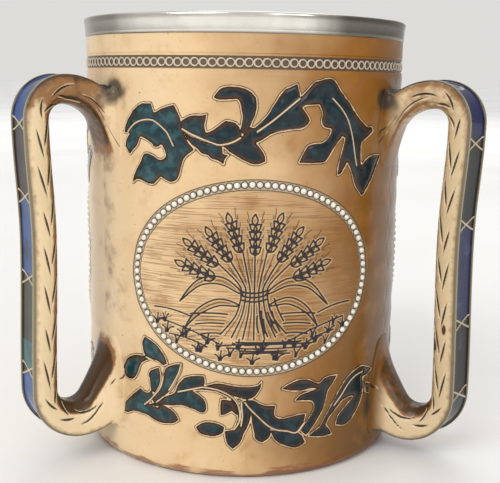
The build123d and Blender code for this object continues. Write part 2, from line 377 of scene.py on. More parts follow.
class LovingCupStage(bpy.types.PropertyGroup):
    floor: colour("Floor", "Pale floor", "#EDECEA")
    key_power: bpy.props.FloatProperty(
        name="Key light", description="Power of the soft key light", default=58.0, unit="POWER"
    )
    fill_power: bpy.props.FloatProperty(
        name="Fill light", description="Power of the fill lights", default=19.0, unit="POWER"
    )
    sky: bpy.props.FloatProperty(
        name="Room light", description="Strength of the light from all round", default=0.8
    )
    focal: bpy.props.FloatProperty(
        name="Focal length", description="Camera lens in millimetres", default=62.98
    )
    turn: bpy.props.FloatProperty(
        name="Camera turn",
        description="How far the camera stands to the left of the front panel's middle",
        default=math.radians(4.2),
        subtype="ANGLE",
    )


# Lines and shapes drawn on the wall


def flowing_line(points, closed=False, steps=5, corner=62.0):
    """A line drawn through the points, kept sharp where it turns by more than corner."""
    points = np.array(points, float)
    count = len(points)
    bends = np.zeros(count, bool)
    for here in range(count):
        before = points[here] - points[here - 1]
        after = points[(here + 1) % count] - points[here]
        angle = math.atan2(before[0] * after[1] - before[1] * after[0], before @ after)
        bends[here] = abs(math.degrees(angle)) > corner
    if not closed:
        bends[[0, -1]] = True
    drawn = []
    for here in range(count if closed else count - 1):
        there = (here + 1) % count
        start, end = points[here], points[there]
        before = start if bends[here] else points[here - 1]
        after = end if bends[there] else points[(here + 2) % count]
        for part in np.arange(steps) / steps:
            drawn.append(
                0.5
                * (
                    2 * start
                    + (end - before) * part
                    + (2 * before - 5 * start + 4 * end - after) * part**2
                    + (3 * start - before - 3 * end + after) * part**3
                )
            )
    drawn.append(points[0] if closed else points[-1])
    return np.array(drawn)


def distance_to_lines(spots, lines):
    """Distance of each spot to the nearest line, up to FAR."""
    nearest = np.full(len(spots), FAR)
    for line in lines:
        inside = (spots > line.min(0) - FAR) & (spots < line.max(0) + FAR)
        near = np.nonzero(inside.all(1))[0]
        close = spots[near]
        best = nearest[near]
        for start, end in zip(line[:-1], line[1:]):
            run = end - start
            part = np.clip((close - start) @ run / max(run @ run, 1e-9), 0, 1)
            best = np.minimum(best, np.hypot(*(close - start - part[:, None] * run).T))
        nearest[near] = best
    return nearest


def distance_to_shapes(spots, shapes):
    """Distance of each spot to the shapes' common outline, negative inside them."""
    nearest = np.full(len(spots), FAR)
    for shape in shapes:
        inside = (spots > shape.min(0) - FAR) & (spots < shape.max(0) + FAR)
        near = np.nonzero(inside.all(1))[0]
        close = spots[near]
        crossings = np.zeros(len(near), int)
        for start, end in zip(shape[:-1], shape[1:]):
            spans = (start[1] > close[:, 1]) != (end[1] > close[:, 1])
            rise = end[1] - start[1] if end[1] != start[1] else 1e-9
            reach = start[0] + (close[:, 1] - start[1]) * (end[0] - start[0]) / rise
            crossings += spans & (close[:, 0] < reach)
        signed = distance_to_lines(close, [shape])
        signed[crossings % 2 == 1] *= -1
        nearest[near] = np.minimum(nearest[near], signed)
    return nearest


def bowed(start, end, swing, count=9):
    """Points from start to end on a bow that swings out to the left by swing."""
    start, end = np.array(start, float), np.array(end, float)
    part = np.linspace(0, 1, count)[:, None]
    left = np.array((start[1] - end[1], end[0] - start[0])) / np.hypot(*(end - start))
    return start + (end - start) * part + left * swing * 4 * part * (1 - part)


def blade(middle, width):
    """Outline of a leaf along its middle line, tapering to both ends."""
    tangent = np.gradient(middle, axis=0)
    left = np.stack((-tangent[:, 1], tangent[:, 0]), 1)
    left /= np.hypot(*left.T)[:, None]
    half = (width / 2 * np.sin(math.pi * np.linspace(0, 1, len(middle)) ** 0.8))[:, None]
    return np.vstack((middle + left * half, (middle - left * half)[::-1]))


def bell(distance, middle, width):
    """A smooth bump, one high, at this distance."""
    return np.exp(-(((distance - middle) / width) ** 2))


def wheat_sheaf():
    """The oval's drawing: shapes, cut lines and fine hatching, in (across, up)."""
    shapes, cuts, hatching = [], [], []
    for stalk in range(-6, 7):
        lean = math.radians(stalk * 8.6 + 1.5 * math.sin(stalk * 2.1))
        reach = 13.8 + 1.0 * math.cos(stalk * 1.3)
        foot = (stalk * 1.95 + 0.4 * math.sin(stalk * 3.0), -21.0 + 0.05 * stalk**2)
        knee = (stalk * 1.05, -12.5)
        waist = (stalk * 0.74, -5.0)
        neck = (stalk * 0.95, -1.0)
        top = (reach * math.sin(lean) * 1.15, -3.0 + reach * math.cos(lean))
        stem = flowing_line((foot, knee, waist, neck, top), steps=6)
        (cuts if stalk % 2 == 0 else hatching).append(stem)
    for ear in range(-4, 5):
        lean = math.radians(ear * 17.0)
        rise = np.array((math.sin(lean) * 1.12, math.cos(lean)))
        start = np.array((0.0, -4.5)) + rise * (13.0 + 1.6 * (ear % 2))
        for grain in range(4):
            place = start + rise * grain * 2.6
            for side in (-1, 1):
                turn = math.radians(36 * side)
                out = np.array(
                    (
                        rise[0] * math.cos(turn) + rise[1] * math.sin(turn),
                        rise[1] * math.cos(turn) - rise[0] * math.sin(turn),
                    )
                )
                tip = place + out * 3.4
                shapes.append(blade(bowed(place, tip, 0.35 * side), 1.9))
                awn = (out + 2 * rise) / np.hypot(*(out + 2 * rise))
                hatching.append(bowed(tip, tip + awn * 4.4, 0.2 * side, 4))
        shapes.append(blade(bowed(start + rise * 10.2, start + rise * 14.0, 0.2), 2.0))
    for points, width in SHEAF_LEAVES:
        middle = flowing_line(points, steps=5)
        shapes.append(blade(middle, width))
        hatching.append(middle[2:-2])
    for cord in range(3):
        low = -6.9 + cord * 1.5
        cuts.append(bowed((-4.6, low), (4.6, low + 0.3), -0.9, 9))
    for left, low, right, high in GROUND_LINES:
        cuts.append(bowed((left, low), (right, high), 0.8, 9))
    for tuft in range(30):
        across = -35 + tuft * 2.42 + 0.9 * math.sin(tuft * 2.3)
        foot = -27.2 + 10.5 * (abs(across) / 36) ** 2 + 2.6 * math.sin(tuft * 1.7)
        for leaf in (-2, -1, 0, 1, 2):
            tip = (across + leaf * 1.15 + 0.5, foot + 3.6 - 0.7 * abs(leaf))
            line = bowed((across + 0.2 * leaf, foot), tip, 0.3 * leaf, 4)
            (cuts if (tuft + leaf) % 2 == 0 else hatching).append(line)
    for row in range(5):
        low = -21.9 - 1.0 * row
        start, end = (-6 + 3.4 * math.sin(row * 2.2), low), (16 + 5 * math.sin(row * 1.4), low - 0.3)
        cuts.append(bowed(start, end, 0.3 * math.sin(row * 1.9), 5))
    for stroke in range(9):
        across = 1.4 + 0.95 * stroke
        low = -18.5 + 2.4 * math.sin(stroke * 1.7) + 0.25 * stroke
        start, end = (across * 1.14, low), (across * 0.76, low + 6.0 + 2 * math.sin(stroke))
        cuts.append(bowed(start, end, 0.3, 5))
    for stroke in range(12):
        lean = math.radians(-44 + stroke * 8)
        rise = np.array((math.sin(lean) * 1.12, math.cos(lean)))
        start = np.array((0.0, -4.5)) + rise * (4.6 + 0.8 * math.sin(stroke * 2.7))
        hatching.append(bowed(start, start + rise * 7.0, 0.25, 5))
    for clump in (-1, 1):
        for row in range(9):
            start = (clump * (9 + row * 0.4), -12.0 - row * 1.15)
            end = (clump * (22 + 3 * math.sin(row * 1.9)), -12.6 - row * 1.2)
            (cuts if row % 3 == 0 else hatching).append(bowed(start, end, 0.4 * clump, 6))
    return shapes, cuts, hatching


# Materials


def node(tree, kind, links=None, **settings):
    """Adds a shader node; links gives a value or a source socket for each input."""
    added = tree.nodes.new("ShaderNode" + kind)
    for name, value in settings.items():
        setattr(added, name, value)
    for socket, source in (links or {}).items():
        if isinstance(source, bpy.types.NodeSocket):
            tree.links.new(source, added.inputs[socket])
        else:
            added.inputs[socket].default_value = source
    return added.outputs


def new_material(name):
    """An empty node material and its tree."""
    material = bpy.data.materials.new(name)
    material.use_nodes = True
    material.node_tree.nodes.clear()
    return material, material.node_tree


def coated(tree, below, coats):
    """Lays coats over a colour, first to last.

    A coat is (colour, field, bare, full, amount): none of it lies where the field is at
    bare, and the amount given lies where the field is at full.
    """
    for colour_over, field, bare, full, amount in coats:
        cover = node(
            tree,
            "MapRange",
            {"Value": field, "From Min": bare, "From Max": full, "To Max": amount},
            interpolation_type="SMOOTHSTEP",
        )[0]
        below = node(tree, "Mix", {0: cover, 6: below, 7: colour_over}, data_type="RGBA")[2]
    return below


def measured_from(tree, field, middle):
    """How far the field is from a middle value, to either side."""
    offset = node(tree, "Math", {0: field, 1: middle}, operation="SUBTRACT")[0]
    return node(tree, "Math", {0: offset}, operation="ABSOLUTE")[0]


def from_axis(tree, place):
    """How far a place lies from the cup's axis."""
    flat = node(tree, "VectorMath", {0: place, 1: (1.0, 1.0, 0.0)}, operation="MULTIPLY")[0]
    return node(tree, "VectorMath", {0: flat}, operation="LENGTH")["Value"]


def clay_ground(tree, place, glazes):
    """Bare salt-glazed clay: pale and cool at -X, warm at +X, mottled and specked. The side-to-side tone is
    partly the kiln's and partly painted light and shade: paler at -X where the light falls, browner and darker
    at +X and low on that side where shade falls.
    """
    axes = node(tree, "SeparateXYZ", {0: place})
    clouds = node(tree, "TexNoise", {"Vector": place, "Scale": 24.0, "Detail": 4.0})[0]
    mottle = node(tree, "TexNoise", {"Vector": place, "Scale": 110.0, "Detail": 5.0})[0]
    grain = node(tree, "TexNoise", {"Vector": place, "Scale": 900.0, "Detail": 3.0})[0]
    drift = node(tree, "Math", {0: clouds, 1: 0.11, 2: axes["X"]}, operation="MULTIPLY_ADD")[0]
    dots = node(tree, "TexVoronoi", {"Vector": place, "Scale": 230.0})["Distance"]
    speck = node(tree, "Math", {0: dots, 1: mottle}, operation="MULTIPLY")[0]
    smear = node(tree, "Mapping", {"Vector": place, "Scale": (90.0, 90.0, 420.0)})[0]
    streaks = node(tree, "TexNoise", {"Vector": smear, "Scale": 1.0, "Detail": 3.0})[0]
    low = node(tree, "Math", {0: streaks, 1: -0.011, 2: axes["Z"]}, operation="MULTIPLY_ADD")[0]
    hot_and_shaded = node(tree, "Math", {0: axes["Z"], 1: -0.20, 2: axes["X"]}, operation="MULTIPLY_ADD")[0]
    # The warm coat at +X and the dark brown coat low at +X are kiln colour and painted shade; the pale coat at
    # -X is painted light.
    ground = coated(
        tree,
        glazes.pale_body,
        (
            (glazes.warm_body, drift, 0.020, 0.108, 1.0),
            (linear("#553808"), hot_and_shaded, -0.002, 0.046, 0.80),
            (linear("#B37A38"), mottle, 0.50, 0.78, 0.40),
            (linear("#F2E2C2"), drift, 0.036, -0.012, 0.34),
            (linear("#94602A"), clouds, 0.55, 0.72, 0.30),
            (linear("#8A5A2E"), grain, 0.58, 0.85, 0.30),
            (linear("#3B2416"), speck, 0.030, 0.014, 0.85),
            (linear("#7A3A1A"), low, -0.0020, -0.0040, 0.7),
        ),
    )
    return ground, axes, mottle


def clear_glaze(tree, material, place, colour_in, roughness, peel=0.35, shine=0.4):
    """Finishes the material with a glossy salt glaze and its orange-peel skin."""
    pits = node(tree, "TexNoise", {"Vector": place, "Scale": 620.0, "Detail": 2.0})[0]
    skin = node(tree, "Bump", {"Strength": peel, "Distance": 0.00012, "Height": pits})[0]
    shader = node(
        tree,
        "BsdfPrincipled",
        {
            "Base Color": colour_in,
            "Roughness": roughness,
            "IOR": 1.5,
            "Specular IOR Level": shine,
            "Coat Weight": shine / 3,
            "Coat Roughness": 0.10,
            "Normal": skin,
        },
    )[0]
    node(tree, "OutputMaterial", {0: shader})
    return material


def salt_glazed_stoneware(name, glazes):
    """Thrown stoneware, carved and salt glazed.

    Salt glaze is thin, glossy and pitted like orange peel; it leaves the clay's colour
    to show, goes brown over carved edges, and coloured glaze pools in what is cut; the dark
    of the cut lines round the leaves is partly that glaze and partly painted shade.
    """
    material, tree = new_material(name)
    place = node(tree, "TexCoord")["Object"]
    ground, axes, mottle = clay_ground(tree, place, glazes)
    read = {
        key: node(tree, "Attribute", attribute_name=key)["Fac"]
        for key in ("leaf", "vein", "bead", "oval", "cut", "shape", "hatch", "flashing_shade", "along")
    }
    stroke_place = node(
        tree, "CombineXYZ", {0: read["along"], 1: axes["Z"], 2: axes["Y"]}
    )[0]
    combed = node(tree, "Mapping", {"Vector": stroke_place, "Scale": (0.075, 3300.0, 8.0)})[0]
    strokes = node(tree, "TexNoise", {"Vector": combed, "Scale": 1.0, "Detail": 2.0})[0]
    carved = node(tree, "TexNoise", {"Vector": place, "Scale": 520.0, "Detail": 2.0})[0]
    edge = node(tree, "Math", {0: carved, 1: 0.42, 2: read["leaf"]}, operation="MULTIPLY_ADD")[0]
    rim_brown = node(tree, "Math", {0: mottle, 1: 3.0, 2: read["leaf"]}, operation="MULTIPLY_ADD")[0]
    shaded = node(tree, "Math", {0: mottle, 1: 1.4, 2: read["flashing_shade"]}, operation="MULTIPLY_ADD")[0]
    inside = {0: from_axis(tree, place), 1: 0.0585}
    indoors = node(tree, "Math", inside, operation="LESS_THAN")[0]
    beside = {0: measured_from(tree, axes["Z"], (CHAIN_FOOT + CHAIN_TOP) / 2 * MM), 1: indoors}
    band = node(tree, "Math", beside, operation="ADD")[0]
    within = {0: read["oval"], 1: -0.5}
    in_oval = node(tree, "Math", within, operation="MULTIPLY", use_clamp=True)[0]
    patchy = node(tree, "Math", {0: mottle, 1: 0.30, 2: strokes}, operation="MULTIPLY_ADD")[0]
    scored = node(tree, "Math", {0: patchy, 1: in_oval}, operation="MULTIPLY")[0]
    flecks = node(tree, "TexNoise", {"Vector": place, "Scale": 330.0, "Detail": 5.0})[0]
    broken = node(tree, "Math", {0: flecks, 1: 0.55}, operation="MULTIPLY")[0]
    ridge = node(
        tree, "Math", {0: measured_from(tree, edge, 0.48), 1: broken}, operation="ADD"
    )[0]
    glaze = coated(
        tree,
        glazes.leaf,
        (
            (linear("#47797A"), flecks, 0.42, 0.72, 0.60),
            (linear("#0F1920"), axes["X"], -0.040, -0.004, 0.84),
            (linear("#274552"), flecks, 0.50, 0.74, 0.45),
            (glazes.leaf_thin, rim_brown, 0.10, 1.25, 0.90),
            (linear("#120D0C"), edge, -0.42, 0.10, 0.90),
        ),
    )
    painted = coated(
        tree,
        ground,
        (
            # Dark coat: kiln flashing and painted shade round the handles' roots.
            (linear("#2A2624"), shaded, 0.85, 1.45, 0.85),
            (linear("#54463B"), band, 0.0022, 0.0019, 0.90),
            (linear("#7A4F22"), scored, 0.665, 0.72, 0.52),
            # Dark line round each leaf, and the veins' dark coat below: glaze gathered in the cut, and partly
            # painted shade in it.
            (glazes.incised, measured_from(tree, edge, 0.76), 0.24, 0.08, 0.90),
            (glaze, edge, 0.34, 0.22, 1.0),
            (glazes.burr, ridge, 0.46, 0.34, 0.95),
            (glazes.incised, read["vein"], 0.62, 0.34, 0.9),
            (glazes.burr, read["vein"], 0.32, 0.18, 0.95),
            (linear("#A89A82"), measured_from(tree, read["oval"], 0.0), 1.75, 1.50, 0.75),
            (linear("#2A2420"), measured_from(tree, read["oval"], 1.72), 0.26, 0.10, 0.85),
            (linear("#2A2420"), measured_from(tree, read["oval"], -1.72), 0.26, 0.10, 0.85),
            (glazes.channel, read["bead"], 1.50, 1.25, 0.75),
            (linear("#1E1B18"), read["bead"], 1.25, 1.10, 0.85),
            (linear("#9A7038"), read["shape"], 0.0, -0.20, 0.55),
            (linear("#4A3020"), read["hatch"], 0.24, 0.12, 0.85),
            (linear("#DCC49A"), measured_from(tree, read["cut"], 0.50), 0.22, 0.10, 0.45),
            (linear("#181A26"), read["cut"], 0.33, 0.20, 0.96),
        ),
    )
    gloss = node(
        tree,
        "MapRange",
        {"Value": edge, "From Min": 0.4, "From Max": 0.1, "To Min": 0.26, "To Max": 0.10},
    )[0]
    return clear_glaze(tree, material, place, painted, gloss, shine=0.28)


def chain_clay(name, glazes):
    """The stamped chain: pale where the rings stand up, brown glaze lying in the hollows."""
    material, tree = new_material(name)
    place = node(tree, "TexCoord")["Object"]
    ground, axes, mottle = clay_ground(tree, place, glazes)
    reach = from_axis(tree, place)
    painted = coated(
        tree,
        ground,
        (
            (linear("#CBBFAC"), mottle, 0.1, 0.35, 0.85),
            (linear("#42352B"), reach, 0.06058, 0.06038, 0.90),
        ),
    )
    return clear_glaze(tree, material, place, painted, 0.3)


def strap_glaze(name, glazes):
    """A pulled strap: clay sides with cut strokes, and blocks of glaze in its channel."""
    material, tree = new_material(name)
    place = node(tree, "TexCoord")["Object"]
    ground, axes, mottle = clay_ground(tree, place, glazes)
    read = {
        key: node(tree, "Attribute", attribute_name=key)["Fac"]
        for key in ("channel", "stroke", "stroke_burr", "chevron", "ridge", "stain", "scorch_and_shade", "free", "flashing_shade")
    }
    block = node(tree, "Attribute", attribute_name="block")["Color"]
    pooled = coated(
        tree,
        block,
        (
            (linear("#0C0C12"), mottle, 0.50, 0.70, 0.75),
            (linear("#5A74A0"), mottle, 0.42, 0.30, 0.25),
            (linear("#0D0A0A"), measured_from(tree, read["channel"], 0.0), 0.9, 0.1, 0.8),
        ),
    )
    soot = node(tree, "TexNoise", {"Vector": place, "Scale": 420.0, "Detail": 6.0})[0]
    # Fire colour on the upper limb, with painted shade along the strap's edges and on the lower limb's face
    # toward the wall.
    burnt_and_shaded = node(tree, "Math", {0: soot, 1: 0.8, 2: read["scorch_and_shade"]}, operation="MULTIPLY_ADD")[0]
    shaded = node(tree, "Math", {0: mottle, 1: 1.4, 2: read["flashing_shade"]}, operation="MULTIPLY_ADD")[0]
    painted = coated(
        tree,
        ground,
        (
            (linear("#EBD4AC"), read["free"], 0.0, 1.0, 0.75),
            (linear("#855220"), burnt_and_shaded, 0.54, 1.10, 0.88),
            (linear("#33271A"), burnt_and_shaded, 1.15, 1.80, 0.85),
            # Dark coat: kiln flashing and painted shade carried onto the strap near its roots.
            (linear("#2A2624"), shaded, 0.85, 1.45, 0.85),
            (linear("#4A1D14"), read["stain"], 0.2, 0.6, 0.95),
            (linear("#E2CFAC"), read["stroke_burr"], 0.34, 0.10, 0.70),
            (linear("#231A16"), read["stroke"], 0.07, -0.07, 0.92),
            (linear("#2A1C16"), read["ridge"], 1.25, 0.95, 0.75),
            (pooled, read["channel"], 0.15, -0.10, 1.0),
            (linear("#9C9A78"), read["ridge"], 0.50, 0.22, 0.80),
            (linear("#D2BF98"), read["chevron"], 0.42, 0.20, 0.80),
        ),
    )
    gloss = node(
        tree,
        "MapRange",
        {"Value": read["channel"], "From Min": 0.1, "From Max": -0.1, "To Min": 0.24, "To Max": 0.08},
    )[0]
    return clear_glaze(tree, material, place, painted, gloss, shine=0.22)


def white_slip(name, glazes):
    """Dots of white slip under clear salt glaze: milky, glossy, a little uneven."""
    material, tree = new_material(name)
    place = node(tree, "TexCoord")["Object"]
    blotch = node(tree, "TexNoise", {"Vector": place, "Scale": 160.0, "Detail": 3.0})[0]
    painted = coated(tree, glazes.slip, ((linear("#C9B99B"), blotch, 0.55, 0.8, 0.5),))
    return clear_glaze(tree, material, place, painted, 0.16, 0.1)


def rubbed_silver(name, glazes):
    """Sheet silver, spun and polished: fine turned scratches, dull spots, painted dark reflections in upright
    streaks down its +X and -X sides, brown by the seam.
    """
    material, tree = new_material(name)
    place = node(tree, "TexCoord")["Object"]
    axes = node(tree, "SeparateXYZ", {0: place})
    turned = node(tree, "Mapping", {"Vector": place, "Scale": (60.0, 60.0, 9000.0)})[0]
    scratches = node(tree, "TexNoise", {"Vector": turned, "Scale": 1.0, "Detail": 4.0})[0]
    dull = node(tree, "TexNoise", {"Vector": place, "Scale": 85.0, "Detail": 5.0})[0]
    upright = node(tree, "Mapping", {"Vector": place, "Scale": (62.0, 62.0, 2.0)})[0]
    streaks = node(tree, "TexNoise", {"Vector": upright, "Scale": 1.0, "Detail": 3.0})[0]
    reflected_dark = node(tree, "Math", {0: streaks, 1: 0.03, 2: axes["X"]}, operation="MULTIPLY_ADD")[0]
    metal = coated(
        tree,
        glazes.silver,
        (
            (linear("#B5AD9E"), dull, 0.52, 0.80, 0.5),
            # Painted reflection: the silver darker down the +X side, and a little darker down the -X side.
            (linear("#4A483F"), reflected_dark, 0.024, 0.046, 0.85),
            (linear("#6A6860"), reflected_dark, -0.016, -0.036, 0.65),
            (linear("#6E6250"), axes["Z"], 0.1541, 0.1533, 0.8),
        ),
    )
    rough = node(
        tree,
        "MapRange",
        {"Value": dull, "From Min": 0.3, "From Max": 0.75, "To Min": 0.08, "To Max": 0.24},
    )[0]
    grooves = node(tree, "Bump", {"Strength": 0.18, "Distance": 0.00004, "Height": scratches})[0]
    shader = node(
        tree,
        "BsdfPrincipled",
        {"Base Color": metal, "Metallic": 1.0, "Roughness": rough, "Normal": grooves},
    )[0]
    node(tree, "OutputMaterial", {0: shader})
    return material


def bedding_plaster(name):
    """Plaster of Paris that beds the silver: chalky, matte and finely pitted."""
    material, tree = new_material(name)
    place = node(tree, "TexCoord")["Object"]
    pits = node(tree, "TexNoise", {"Vector": place, "Scale": 1200.0, "Detail": 4.0})[0]
    chalk = coated(tree, linear("#DDD8CC"), ((linear("#B8AE9C"), pits, 0.45, 0.7, 1.0),))
    skin = node(tree, "Bump", {"Strength": 0.5, "Distance": 0.0001, "Height": pits})[0]
    shader = node(
        tree, "BsdfPrincipled", {"Base Color": chalk, "Roughness": 0.9, "Normal": skin}
    )[0]
    node(tree, "OutputMaterial", {0: shader})
    return material


def pale_board(name, shade):
    """Matte painted board under the cup: a little uneven near it, and whiter far out as painted light, so that
    it fades into the bright room.
    """
    material, tree = new_material(name)
    place = node(tree, "TexCoord")["Object"]
    cloud = node(tree, "TexNoise", {"Vector": place, "Scale": 3.0, "Detail": 2.0})[0]
    far = node(tree, "VectorMath", {0: place}, operation="LENGTH")["Value"]
    board = coated(
        tree,
        shade,
        (
            # Painted light: the board whiter far from the cup.
            (linear("#FFFFFF"), far, 0.7, 2.2, 1.0),
            (linear("#D6D5D1"), cloud, 0.4, 0.8, 0.3),
        ),
    )
    shader = node(tree, "BsdfPrincipled", {"Base Color": board, "Roughness": 0.6})[0]
    node(tree, "OutputMaterial", {0: shader})
    return material


# Modelling


def to_object_mode():
    """Leaves edit mode and deselects everything."""
    if bpy.context.object and bpy.context.object.mode != "OBJECT":
        bpy.ops.object.mode_set(mode="OBJECT")
    bpy.ops.object.select_all(action="DESELECT")


def select_only(piece):
    """Makes this piece the only selected and the active one."""
    to_object_mode()
    piece.select_set(True)
    bpy.context.view_layer.objects.active = piece


def piece_from(name, points, faces, material):
    """A mesh piece from points in millimetres."""
    mesh = bpy.data.meshes.new(name)
    mesh.from_pydata((np.asarray(points) * MM).tolist(), [], faces)
    mesh.materials.append(material)
    piece = bpy.data.objects.new(name, mesh)
    bpy.context.scene.collection.objects.link(piece)
    return piece


def write_attribute(piece, name, values):
    """Stores one number, or one colour, for each vertex of the piece."""
    values = np.asarray(values, np.float32)
    kind = "FLOAT" if values.ndim == 1 else "FLOAT_COLOR"
    layer = piece.data.attributes.new(name, kind, "POINT")
    layer.data.foreach_set("value" if kind == "FLOAT" else "color", values.ravel())


def ride_as(piece, slot, *nodes):
    """Hands the piece to the frame, in place of the CAD nodes named."""
    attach(piece, "root")
    if nodes:
        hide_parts(*nodes)


def lathe(name, profile, material, turns=160, crease=32.0):
    """Turns a profile of (reach, height) round the cup's axis."""
    points = [(reach, 0, height) for reach, height in profile]
    edges = [(spot, spot + 1) for spot in range(len(points) - 1)]
    mesh = bpy.data.meshes.new(name)
    mesh.from_pydata((np.array(points) * MM).tolist(), edges, [])
    mesh.materials.append(material)
    piece = bpy.data.objects.new(name, mesh)
    bpy.context.scene.collection.objects.link(piece)
    select_only(piece)
    bpy.ops.object.mode_set(mode="EDIT")
    bpy.ops.mesh.select_all(action="SELECT")
    bpy.ops.mesh.spin(steps=turns, angle=math.tau, center=(0, 0, 0), axis=(0, 0, 1))
    bpy.ops.mesh.select_all(action="SELECT")
    bpy.ops.mesh.remove_doubles(threshold=0.005 * MM)
    bpy.ops.mesh.normals_make_consistent(inside=False)
    bpy.ops.object.mode_set(mode="OBJECT")
    bpy.ops.object.shade_smooth_by_angle(angle=math.radians(crease))
    return piece


def copies_of(pattern, places, name, material):
    """One piece made of a copy of the pattern's mesh at each place."""
    mesh = pattern.data
    shape = np.array([tuple(vertex.co) + (1.0,) for vertex in mesh.vertices])
    faces = [tuple(face.vertices) for face in mesh.polygons]
    points, copied = [], []
    for place in places:
        offset = len(points) * len(shape)
        points.append((shape @ np.array(place).T)[:, :3] / MM)
        copied += [tuple(corner + offset for corner in face) for face in faces]
    piece = piece_from(name, np.concatenate(points), copied, material)
    piece.data.shade_smooth()
    bpy.data.objects.remove(pattern)
    return piece


def on_the_wall(radius, azimuth, height):
    """A place on the wall: x along it, y up, z out of it. In metres."""
    angle = math.radians(azimuth)
    along = Vector((math.cos(angle), math.sin(angle), 0))
    out = Vector((math.sin(angle), -math.cos(angle), 0))
    place = Matrix((along, Vector((0, 0, 1)), out)).transposed().to_4x4()
    place.translation = (out * radius + Vector((0, 0, height))) * MM
    return place


def bead_spots(sizes):
    """(across, up) of each bead round a panel's oval, evenly spaced."""
    angles = np.linspace(0, math.tau, 2001)
    across = np.cos(angles) * sizes.oval_width / MM
    up = np.sin(angles) * sizes.oval_rise / MM
    run = np.append(0, np.cumsum(np.hypot(np.diff(across), np.diff(up))))
    steps = np.arange(BEADS) / BEADS * run[-1]
    return np.stack((np.interp(steps, run, across), np.interp(steps, run, up)), 1)


class LOVINGCUP_OT_throw_body(bpy.types.Operator):
    """Throw the cup's body: foot, lip, inside wall and the band for the chain"""

    bl_idname = "lovingcup.throw_body"
    bl_label = "Throw body"

    def execute(self, context):
        sizes = context.scene.loving_cup_sizes
        radius, inside, top = sizes.radius / MM, sizes.inside / MM, sizes.height / MM
        clay = salt_glazed_stoneware("salt_glazed_stoneware", context.scene.loving_cup_glazes)
        seat, lip = top - 6.8, top - 1.0
        corner = [
            (inside - 9 + 9 * math.cos(turn), 17.8 - 9 * math.sin(turn))
            for turn in np.linspace(0, math.pi / 2, 9)
        ]
        foot = [
            (radius - 3.4 + 3.4 * math.sin(turn), 3.4 - 3.4 * math.cos(turn))
            for turn in np.linspace(0, math.pi / 2, 9)
        ]
        profile = [(0, 1.8), (20, 1.8), (44, 1.8), (46.5, 1.7), (48, 1.2), (49.3, 0.0)]
        profile += [(51, 0.0)] + foot + [(radius - 0.7, 3.9), (radius - 0.7, CHAIN_FOOT - 0.5)]
        profile += [
            (radius, CHAIN_FOOT),
            (radius, CHAIN_FOOT + 0.25),
            (radius - 0.4, CHAIN_FOOT + 0.45),
            (radius - 0.45, CHAIN_TOP - 0.45),
            (radius, CHAIN_TOP - 0.25),
            (radius, CHAIN_TOP + 0.15),
            (radius - 0.22, CHAIN_TOP + 0.4),
            (radius, CHAIN_TOP + 0.65),
            (radius - 0.05, CHAIN_TOP + 3.5),
            (radius, seat),
            (radius - 0.6, seat + 0.2),
            (radius - 0.5, lip),
            (inside + 1.0, lip),
            (inside + 1.0, seat + 0.2),
            (inside, seat),
            (inside + 0.1, 120),
            (inside, 60),
        ]
        profile += corner + [(30, 8.7), (14, 8.9), (0, 8.8)]
        body = lathe("cup_body", profile, clay)
        write_attribute(body, "leaf", np.full(len(body.data.vertices), FAR))
        for name in ("vein", "bead", "oval", "cut", "shape", "hatch", "along"):
            write_attribute(body, name, np.full(len(body.data.vertices), FAR))
        ride_as(body, "salt_glazed_stoneware", "body")
        return {"FINISHED"}


class LOVINGCUP_OT_stamp_chain(bpy.types.Operator):
    """Stamp the chain of overlapping rings in its band"""

    bl_idname = "lovingcup.stamp_chain"
    bl_label = "Stamp chain"

    def execute(self, context):
        radius = context.scene.loving_cup_sizes.radius / MM
        to_object_mode()
        bpy.ops.mesh.primitive_torus_add(
            major_segments=14,
            minor_segments=4,
            major_radius=1.28 * MM,
            minor_radius=0.42 * MM,
            location=(0, 0, 0),
        )
        ring = bpy.context.object
        bpy.ops.object.mode_set(mode="EDIT")
        bpy.ops.mesh.select_all(action="SELECT")
        bpy.ops.transform.resize(value=(1.04, 1.0, 0.9))
        bpy.ops.object.mode_set(mode="OBJECT")
        places = []
        for link in range(LINKS):
            height = (CHAIN_FOOT + CHAIN_TOP) / 2 + 0.06 * math.sin(link * 1.9)
            place = on_the_wall(radius - 0.38, link * 360 / LINKS, height)
            tilt = Matrix.Rotation(math.radians(3), 4, "Y")
            places.append(place @ tilt)
        clay = chain_clay("stamped_chain", context.scene.loving_cup_glazes)
        chain = copies_of(ring, places, "stamped_chain", clay)
        ride_as(chain, "salt_glazed_stoneware")
        return {"FINISHED"}


def flashing_and_shade(azimuth, height):
    """How much dark kiln flashing and painted shade from the handles lies on the wall round the handles' roots.
    """
    dark = np.zeros(np.shape(height))
    for place, rise, wide, tall, amount in FLASHING_AND_SHADE:
        dark += amount * bell(azimuth, place, wide) * bell(height, rise, tall)
    return dark


